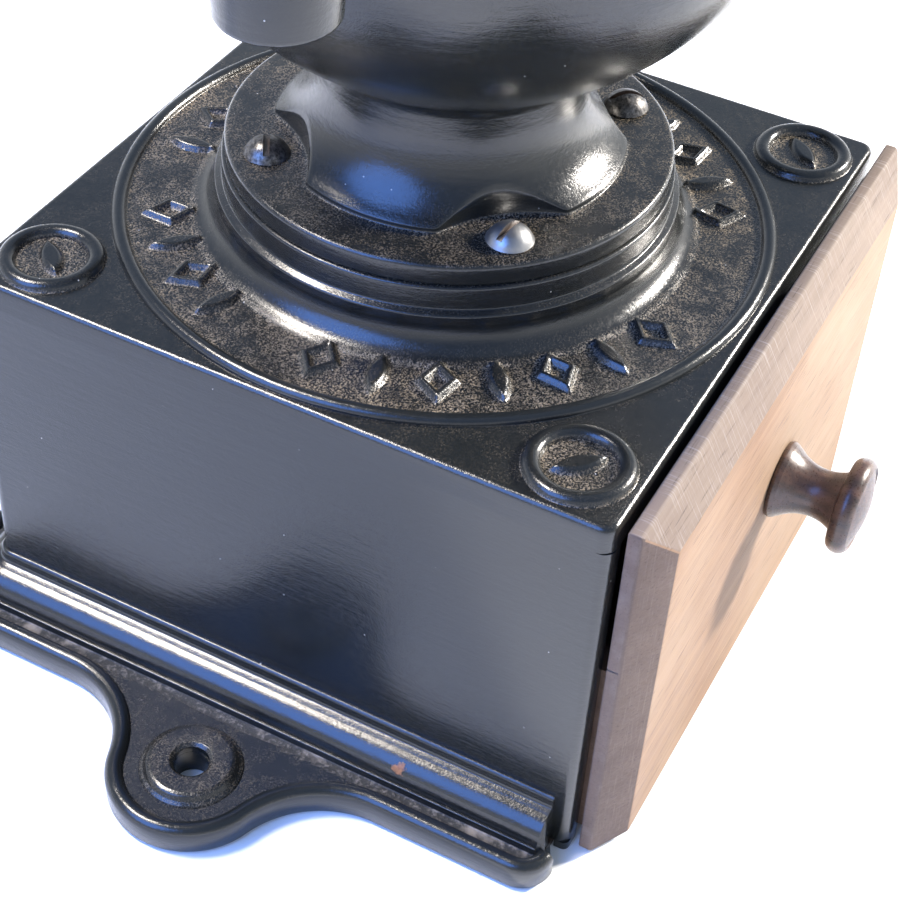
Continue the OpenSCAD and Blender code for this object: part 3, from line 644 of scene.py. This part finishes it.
finish_piece(base, "mill_frame", IRON, ["base_moulding"], base_dust, sharp=45)
base.data.materials.append(ROUGH_IRON)
for face in base.data.polygons:
    out_x, out_y = abs(face.center.x) / MM - HALF, face.center.y / MM - HALF
    in_valley = 5.6 < face.center.z / MM < 6.2 and face.normal.z > 0.5
    if in_valley and 7 < max(out_x, out_y) < 10.6:
        face.material_index = 1
for s, side in ((-1, "left"), (1, "right")):
    ring = lathe(fillet([(3.75, 5.2, 0), (11.2, 5.2, 0), (10.6, 6.2, 0.5), (9.9, 6.6, 0.6),
                         (9.2, 7.7, 0.7), (8.4, 8, 0.6), (4.5, 8, 0.4), (3.75, 7.3, 0.3)], seg=4),
                 96, wrap=True)
    boss = mesh_object(f"ear_boss_{side}", [turned(ring, 0, s * EAR_X, EAR_Y)])
    finish_piece(boss, "mill_frame", IRON, dust=lambda x, y, z: 0.45 * (z > 0), sharp=60)


# ---------- Hopper casting ----------

def foot_edge(t):
    """Radius of the trumpet foot's edge, with a shallow scallop at each screw."""
    d = t % (PI / 2) - PI / 4
    root = np.sqrt(np.maximum(SCALLOP_R ** 2 - (SCALLOP_AT * np.sin(d)) ** 2, 0))
    hit = SCALLOP_AT * np.cos(d) - root
    hit = np.where(np.abs(SCALLOP_AT * np.sin(d)) < SCALLOP_R, hit, 60)
    k = 0.35
    return -k * np.log(np.exp(-hit / k) + np.exp(-FOOT_R / k))


def trumpet_z(r):
    return COVE_Z - np.sqrt(np.maximum(COVE_R ** 2 - (NECK_R + COVE_R - r) ** 2, 0))


def hopper_casting():
    n = 720
    t = np.linspace(0, 2 * PI, n, endpoint=False) + PI / 4 / 90
    edge = foot_edge(t)
    rows = []

    def ring(r, z):
        r = np.broadcast_to(np.asarray(r, float), (n,))
        rows.append(np.stack([r * np.cos(t), r * np.sin(t), np.broadcast_to(z, (n,))], -1))

    for r, z in fillet([(26, COLLAR_TOP + 0.02, 0), (FLANGE_R, COLLAR_TOP + 0.02, 0.5),
                        (FLANGE_R, FLANGE_TOP, 1.7), (43, FLANGE_TOP, 0)], closed=False, seg=6):
        ring(r, z)
    for s in np.linspace(0, 1, 12)[1:]:
        ring(43 + s * (edge + 0.9 - 43), FLANGE_TOP)
    step = trumpet_z(edge) - FLANGE_TOP
    for a, b in [(0.45, 0.06), (0.15, 0.14), (0.03, 0.24)]:
        ring(edge + a, FLANGE_TOP + b * np.minimum(step, 2.0))
    for s in (0.55, 0.8, 0.93):
        ring(edge - 0.05 * s, FLANGE_TOP + s * step)
    ring(edge - 0.18, FLANGE_TOP + step * 0.985 + 0.05)
    for s in np.linspace(0, 1, 34)[1:]:
        r = edge - 0.45 + (NECK_R - edge + 0.45) * (1 - (1 - s) ** 1.6)
        ring(r, trumpet_z(r))
    blend = 5.0
    bx = NECK_R + blend
    bz = BALL_Z - math.sqrt((BALL_R + blend) ** 2 - bx ** 2)
    start = math.degrees(math.atan2(bz - BALL_Z, bx))
    end = math.degrees(math.asin((RIM_Z - BALL_Z) / BALL_R))
    ball_in = BALL_R - 4.5
    outer = arc(bx, bz, blend, 180, 180 + start, 10) + arc(0, BALL_Z, BALL_R, start, end - 0.9, 90)[1:]
    outer += fillet([outer[-1] + (0,), (BALL_R * math.cos(math.radians(end)) + 0.8, RIM_Z, 0.8),
                     (RIM_R, RIM_Z, 1.2), (RIM_R, BALL_Z - 0.05, 0.5), (ball_in, BALL_Z - 0.05, 0.3)],
                    closed=False, seg=5)[1:]
    outer += arc(0, BALL_Z, ball_in, -1, -math.degrees(math.acos(20 / ball_in)), 60)
    outer += [(20, 133), (20, FLANGE_TOP), (26, COLLAR_TOP + 0.4)]
    for r, z in outer:
        ring(r, z)
    return mesh_object("hopper_casting", [grid(np.array(rows), wrap_rows=True)], weld=False)


def hopper_dust(x, y, z):
    r = np.hypot(x, y)
    flat = (np.abs(z - FLANGE_TOP) < 0.5) & (r < 45)
    return np.where(flat, 0.55, np.where(z > 150, 0.0, 0.10))


finish_piece(hopper_casting(), "mill_frame", IRON, ["hopper_foot", "hopper_bowl"],
             hopper_dust, sharp=50)


def screw(r, h, shank_r, shank, slot, angle, place):
    """Slotted round-head screw with its head above the origin."""
    cap = (r * r + h * h) / (2 * h)
    top = math.degrees(math.asin((r - 0.1) / cap))
    profile = [(0.0, -shank), (shank_r, -shank), (shank_r, 0), (r - 0.25, 0), (r, 0.2)]
    profile += arc(0, h - cap, cap, 90 - top, 90, 18)[1:-1] + [(0.0, h)]
    body = mesh_object("head", [lathe(profile, 72)])
    w, d = slot / 2, h * 0.5
    cut(body, [extrude([(-2 * r, -w), (2 * r, -w), (2 * r, w), (-2 * r, w)], h - d, h + 3)])
    verts = np.array([v.co for v in body.data.vertices]) / MM
    faces = [list(p.vertices) for p in body.data.polygons]
    bpy.data.objects.remove(body)
    return placed((verts, faces), place @ Matrix.Rotation(angle, 4, "Z"))


def hopper_screws():
    parts = []
    for i in range(4):
        a = math.radians(45 + 90 * i)
        place = Matrix.Translation((SCREW_AT * math.cos(a), SCREW_AT * math.sin(a), FLANGE_TOP))
        parts.append(screw(4.7, 3.4, 2.4, 13, 1.25, a + math.radians(25 + 50 * i), place))
    obj = mesh_object("hopper_slotted_screws", parts, weld=False)
    finish_piece(obj, "mill_frame", SCREW, ["hopper_screws"], sharp=35)


hopper_screws()


# ---------- Dome, filler door and collar ----------

def shell_sector(r0, r1, e0, e1, a0, a1, n=24, m=24):
    """Closed piece of a ball's shell between two elevations and two azimuths, in degrees."""
    e, a = np.radians(np.linspace(e0, e1, n)), np.radians(np.linspace(a0, a1, m))
    ee, aa = np.meshgrid(e, a, indexing="ij")
    skins = [np.stack([r * np.cos(ee) * np.cos(aa), r * np.cos(ee) * np.sin(aa),
                       BALL_Z + r * np.sin(ee)], -1) for r in (r0, r1)]
    v0, f0 = grid(skins[0], wrap_cols=False)
    v1, f1 = grid(skins[1], wrap_cols=False)
    k = n * m
    rim = list(range(m)) + [m - 1 + i * m for i in range(1, n)]
    rim += [k - 1 - i for i in range(1, m)] + [k - m - i * m for i in range(1, n - 1)]
    sides = [[rim[i], rim[(i + 1) % len(rim)], k + rim[(i + 1) % len(rim)], k + rim[i]]
             for i in range(len(rim))]
    return np.vstack([v0, v1]), f0 + [[i + k for i in q[::-1]] for q in f1] + sides


CROWN_R = 20.0
CROWN_Z = BALL_Z + math.sqrt(BALL_R ** 2 - CROWN_R ** 2)
DOOR_IN = BALL_R + 0.5
HUB_Z = BALL_Z + math.sqrt(DOOR_IN ** 2 - CROWN_R ** 2)


def dome():
    inner = BALL_R - 2.5
    skirt = BALL_R - 5.0
    top_in = math.degrees(math.asin((CROWN_Z - 2.5 - BALL_Z) / inner))
    profile = fillet([(skirt - 2, RIM_Z + 0.5, 0), (skirt, RIM_Z + 0.5, 0.4), (skirt, BALL_Z, 0),
                      (RIM_R, BALL_Z, 0.5), (RIM_R, BALL_Z + 5.5, 0.4), (RIM_R - 0.9, BALL_Z + 5.5, 0.4),
                      (RIM_R - 1.0, BALL_Z + 2.5, 0.8), (BALL_R + 0.4, BALL_Z + 2.4, 0.6)],
                     closed=False, seg=4)
    crown = math.degrees(math.acos(CROWN_R / BALL_R))
    profile += arc(0, BALL_Z, BALL_R, 2.6, crown - 0.5, 70)
    profile += [(CROWN_R - 0.6, CROWN_Z), (10, CROWN_Z), (10, CROWN_Z - 2.5)]
    profile += arc(0, BALL_Z, inner, top_in, 3, 50) + [(skirt - 2, BALL_Z + 2)]
    obj = mesh_object("hopper_dome_shell", [lathe(profile, 240, wrap=True)], weld=False)
    cut(obj, [shell_sector(BALL_R - 6, BALL_R + 4, 22, 62, -119, -61)])
    finish_piece(obj, "mill_frame", IRON, ["hopper_dome"],
                 lambda x, y, z: 0.12 * (z > 0), sharp=40)


def door():
    half, low, high = 36.0, 5.0, 71.5
    shell = mesh_object("filler_door_shell",
                        [shell_sector(DOOR_IN, DOOR_IN + 1.8, low, high, -90 - half, -90 + half,
                                      48, 48)])
    bevelled(shell, 0.6, 3, 50)
    hub = lathe(fillet([(11.3, HUB_Z, 0.2), (22.0, HUB_Z, 0), (22.4, HUB_Z + 0.6, 0.5),
                        (18.4, HUB_Z + 1.8, 0.8), (11.3, HUB_Z + 1.8, 0.3)], seg=4), 96, wrap=True)
    verts = np.array([v.co for v in shell.data.vertices]) / MM
    faces = [list(p.vertices) for p in shell.data.polygons]
    bpy.data.objects.remove(shell)
    obj = mesh_object("filler_door_panel", [(verts, faces), hub], weld=False)
    finish_piece(obj, "door", IRON, ["filler_door"], lambda x, y, z: 0.15 * (z > 0))


dome()
door()

collar = mesh_object("top_collar", [lathe(fillet([
    (5.4, CROWN_Z - 2.5, 0), (9.9, CROWN_Z - 2.5, 0), (9.9, CROWN_Z, 0), (11, CROWN_Z, 0),
    (11, HUB_Z + 2.2, 0), (15, HUB_Z + 2.2, 0.4), (15, HUB_Z + 3.7, 0.6), (12.6, HUB_Z + 5, 0.8),
    (5.4, HUB_Z + 5, 0.3)], seg=4), 96, wrap=True)])
finish_piece(collar, "mill_frame", IRON, ["dome_collar"], lambda x, y, z: 0.2 * (z > 0))

knob_place = (Matrix.Translation((0, 0, BALL_Z)) @ Matrix.Rotation(math.radians(48), 4, "X")
              @ Matrix.Translation((0, 0, DOOR_IN + 1.8)))
finger_knob = mesh_object("door_finger_knob", [placed(lathe(
    fillet([(0.0, -1.6, 0), (1.45, -1.6, 0.2), (1.45, 0.1, 0), (3.4, 0.1, 0.3), (3.1, 1.2, 0.4),
            (1.9, 2.2, 0.5), (1.9, 3.3, 0.4)], closed=False, seg=3)
    + arc(0, 6, 3.6, -46, 89, 24) + [(0.0, 9.6)], 64), knob_place)])
finish_piece(finger_knob, "door", BRASS, ["filler_door_knob"])


# ---------- Crank ----------

HUB_LOW, HUB_TOP = 264.0, 281.0
BEND, FLARE, LOW_A = 84.0, 14.0, 12.0
LOW_SINE = math.sin(math.radians(LOW_A))
BOSS_Z = BALL_Z + BEND * LOW_SINE - FLARE * (1 - LOW_SINE) + 0.5
HANDLE_Z = BOSS_Z + 7.5
AT_REST = Matrix.Rotation(CRANK, 4, "Z")


def crank_arm():
    low = math.radians(LOW_A)
    fx, fz = (BEND + FLARE) * math.cos(low), BALL_Z + (BEND + FLARE) * math.sin(low)
    path = arc(0, BALL_Z, BEND, 90, LOW_A, 60) + arc(fx, fz, FLARE, 180 + LOW_A, 268, 16)[1:]
    path = np.array(path)
    tangent = np.gradient(path, axis=0)
    tangent /= np.linalg.norm(tangent, axis=1)[:, None]
    normal = np.stack([-tangent[:, 1], tangent[:, 0]], -1)
    section = np.array(fillet([(-1, -1, 0.45), (1, -1, 0.45), (1, 1, 0.45), (-1, 1, 0.45)], seg=6))
    rows = []
    for q, m in zip(path, normal):
        w = 6.3 - 1.8 * q[0] / REACH
        side, up = section[:, 0] * w, section[:, 1] * 3.45
        rows.append(np.stack([q[0] + m[0] * up, side, q[1] + m[1] * up], -1))
    v, f = grid(np.array(rows))
    c = len(section)
    last = (len(path) - 1) * c
    bar = (v, f + [list(range(c)), [last + i for i in range(c)]])
    hub = lathe(fillet([(4.02, HUB_LOW, 0), (10.4, HUB_LOW, 0.8), (10.4, HUB_LOW + 7, 3),
                        (9.2, HUB_TOP - 1, 0), (9.0, HUB_TOP, 0.7), (4.02, HUB_TOP, 0.2)], seg=5),
                96, wrap=True)
    end = lathe(fillet([(3.52, BOSS_Z - 7.95, 0), (9.1, BOSS_Z - 7.95, 1.3), (9.4, BOSS_Z + 5.9, 1.3),
                        (3.52, BOSS_Z + 5.9, 0.2)], seg=5), 96, wrap=True)
    parts = [placed(p, AT_REST) for p in (bar, hub, turned(end, 0, REACH))]
    obj = mesh_object("crank_arm_casting", parts, weld=False)
    finish_piece(obj, "crank", IRON, ["crank_arm"], lambda x, y, z: 0.1 * (z > 0),
                 sharp=50)


def grip():
    top = 44.0
    profile = fillet([(3.56, 5, 0), (7.0, 5, 0.4), (8.3, 5.6, 0.7), (8.75, 7, 0.9), (8.1, 8.5, 0.6)],
                     closed=False, seg=4)
    profile += arc(18.6, 12, 11, 198, 160, 16)
    profile += arc(1.6, top - 13.5, 12.3, -40, 62, 40)
    profile += fillet([(5.9, top - 1.2, 0), (5.6, top - 0.5, 0.6), (3.56, top - 0.1, 0)],
                      closed=False, seg=4)
    wood = mesh_object("crank_grip", [placed(turned(lathe(profile, 96, wrap=True),
                                                    0, REACH, 0, HANDLE_Z),
                                             AT_REST)])
    finish_piece(wood, "handle", TURNED, ["crank_handle"], sharp=50)
    band = lathe(fillet([(3.56, 0, 0), (7.3, 0, 0.4), (7.9, 0.8, 0.5), (7.9, 1.6, 0.3), (7.5, 2, 0.3),
                         (7.5, 5, 0.2), (3.56, 5, 0)], seg=3), 96, wrap=True)
    ferrule = mesh_object("grip_ferrule", [placed(turned(band, 0, REACH, 0, HANDLE_Z), AT_REST)])
    finish_piece(ferrule, "handle", BRASS, ["handle_ferrule"])


crank_arm()
grip()


# ---------- Drawer front and knob ----------

front_low, front_high = (np.array(c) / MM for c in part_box("drawer_front"))


def board():
    """The front board with wide chamfers on its top and both ends."""
    (x0, y0, z0), (x1, y1, z1) = front_low, front_high
    face, bevel, drop = y0, 8.5, 4.7
    back = [(x0, y1, z0), (x1, y1, z0), (x1, y1, z1), (x0, y1, z1)]
    mid = [(x0, face + drop, z0), (x1, face + drop, z0), (x1, face + drop, z1), (x0, face + drop, z1)]
    flat = [(x0 + bevel, face, z0), (x1 - bevel, face, z0), (x1 - bevel, face, z1 - bevel),
            (x0 + bevel, face, z1 - bevel)]
    faces = [[0, 1, 2, 3], [8, 11, 10, 9]]
    for i in range(4):
        j = (i + 1) % 4
        faces += [[i, j, 4 + j, 4 + i], [4 + i, 4 + j, 8 + j, 8 + i]]
    obj = mesh_object("drawer_front_board", [(np.array(back + mid + flat, float), faces)])
    bevelled(obj, 0.55, 3, 12)
    crack = [(x0 - 1, z0 + 54.6), (x0 + 1.6, z0 + 55.1), (x0 - 1, z0 + 55.4)]
    v, f = extrude(crack, y1 - 2.4, y1 + 1)
    cut(obj, [(v[:, [0, 2, 1]], f)])
    finish_piece(obj, "drawer", WALNUT, ["drawer_front"], sharp=30)
    obj.data.materials.append(TOP_WALNUT)
    obj.data.materials.append(END_GRAIN_AND_SHADE_WALNUT)
    # Faces turned along X take the darker end walnut, which carries painted shade; faces turned up take
    # the greyer weathered top
    for face in obj.data.polygons:
        if abs(face.normal.x) > 0.3:
            face.material_index = 2
        elif abs(face.normal.z) > 0.3:
            face.material_index = 1


def drawer_knob():
    low, high = (np.array(c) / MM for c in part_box("drawer_knob"))
    cx, cz = (low[0] + high[0]) / 2, (low[2] + high[2]) / 2
    profile = fillet([(0.0, -7, 0), (3.9, -7, 0), (3.9, 0.02, 0), (8.25, 0.02, 0.4), (8.55, 0.9, 0.6),
                      (8.1, 1.9, 0.4), (7.75, 2.3, 0)], closed=False, seg=4)
    profile += arc(15.2, 9, 9.9, 221, 151, 30)[1:]
    profile += arc(8, 16.4, 2.55, -60, 62, 24)[1:] + arc(0, -3.7, 23.65, 67, 90, 18)[1:]
    profile[-1] = (0.0, profile[-1][1])
    turn = Matrix.Translation((cx, front_low[1], cz)) @ Matrix.Rotation(PI / 2, 4, "X")
    obj = mesh_object("drawer_turned_knob", [placed(lathe(profile, 128), turn)])
    finish_piece(obj, "drawer", TURNED, ["drawer_knob"], sharp=45)


board()
drawer_knob()


# ---------- CAD nodes that stay: their materials ----------

STAYING = {
    "bottom_plate": SCREW, "bottom_plate_screws": SCREW, "dome_screws": SCREW,
    "upper_bridge": ROUGH_IRON, "upper_bridge_screws": SCREW, "upper_bushing": BRASS,
    "burr_ring": BRIGHT, "burr_ring_pins": SCREW, "lower_bridge": ROUGH_IRON,
    "lower_bridge_screws": SCREW, "thrust_cup": BRASS, "adjusting_screw": SCREW,
    "drive_shaft": BRIGHT, "grinding_cone": BRIGHT, "cone_pin": SCREW,
    "crank_washer": SCREW, "crank_nut": SCREW, "handle_spindle": SCREW,
    "drawer_left_side": INNER_WALNUT_SHADED, "drawer_right_side": INNER_WALNUT_SHADED,
    "drawer_back": INNER_WALNUT_SHADED, "drawer_bottom": INNER_WALNUT_SHADED, "drawer_nails": SCREW,
}
for name, material in STAYING.items():
    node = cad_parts[name]
    node.data.materials.clear()
    node.data.materials.append(material)


# ---------- Floor, light and camera ----------

def floor():
    size = 6.0
    mesh = bpy.data.meshes.new("studio_floor")
    mesh.from_pydata([(-size, -size, -0.0002), (size, -size, -0.0002), (size, size, -0.0002),
                      (-size, size, -0.0002)], [], [(0, 1, 2, 3)])
    obj = bpy.data.objects.new("studio_floor", mesh)
    bpy.context.scene.collection.objects.link(obj)
    s = Shader("pale_floor")
    tone = s.mix(s.noise(3, 2), (0.86, 0.88, 0.89), (0.90, 0.915, 0.92))
    mesh.materials.append(s.set(Base_Color=tone, Roughness=0.8, Specular_IOR_Level=0.2))


def area_light(name, place, target, size, watts, colour):
    light = bpy.data.lights.new(name, "AREA")
    light.shape = "DISK"
    light.size = size
    light.energy = watts
    light.color = colour
    obj = bpy.data.objects.new(name, light)
    obj.location = place
    obj.rotation_euler = (Vector(target) - Vector(place)).to_track_quat("-Z", "Y").to_euler()
    bpy.context.scene.collection.objects.link(obj)


def sky():
    world = bpy.data.worlds.new("studio_sky")
    bpy.context.scene.world = world
    world.use_nodes = True
    tree = world.node_tree
    back = tree.nodes["Background"]
    coord = tree.nodes.new("ShaderNodeTexCoord")
    split = tree.nodes.new("ShaderNodeSeparateXYZ")
    ramp = tree.nodes.new("ShaderNodeValToRGB")
    ramp.color_ramp.elements[0].position = 0.0
    ramp.color_ramp.elements[0].color = (0.95, 0.97, 1.0, 1)
    ramp.color_ramp.elements[1].position = 0.55
    ramp.color_ramp.elements[1].color = (0.19, 0.25, 0.36, 1)
    tree.links.new(coord.outputs["Generated"], split.inputs[0])
    tree.links.new(split.outputs[2], ramp.inputs[0])
    tree.links.new(ramp.outputs[0], back.inputs["Color"])
    back.inputs["Strength"].default_value = 1.6


def camera():
    place = (-0.297986, -0.144823, 0.330407)
    yaw, pitch, roll = (math.radians(v) for v in (-65.146, 42.860, 4.172))
    back = Vector((math.sin(yaw) * math.cos(pitch), -math.cos(yaw) * math.cos(pitch), math.sin(pitch)))
    right = Vector((math.cos(yaw), math.sin(yaw), 0))
    up = back.cross(right)
    r2 = right * math.cos(roll) + up * math.sin(roll)
    u2 = up * math.cos(roll) - right * math.sin(roll)
    cam = bpy.data.cameras.new("camera")
    cam.sensor_width = 36
    cam.lens = 1956.95 / 916 * 36
    cam.clip_start = 0.01
    obj = bpy.data.objects.new("camera", cam)
    bpy.context.scene.collection.objects.link(obj)
    m = Matrix((r2, u2, back)).transposed().to_4x4()
    obj.matrix_world = Matrix.Translation(place) @ m
    bpy.context.scene.camera = obj


floor()
sky()
sun = Vector((0.68, -0.60, 0.46)).normalized()
area_light("key", sun * 2.2, (0, 0, 0.1), 0.35, 135, (1.0, 0.94, 0.86))
area_light("cool_fill", (-1.6, 0.7, 1.5), (0, 0, 0.05), 1.8, 66, (0.13, 0.32, 1.0))
area_light("top_fill", (-0.3, 1.0, 2.0), (-0.2, 0, 0), 0.6, 66, (1.0, 0.92, 0.83))
bpy.context.scene.view_settings.view_transform = "Standard"
camera()
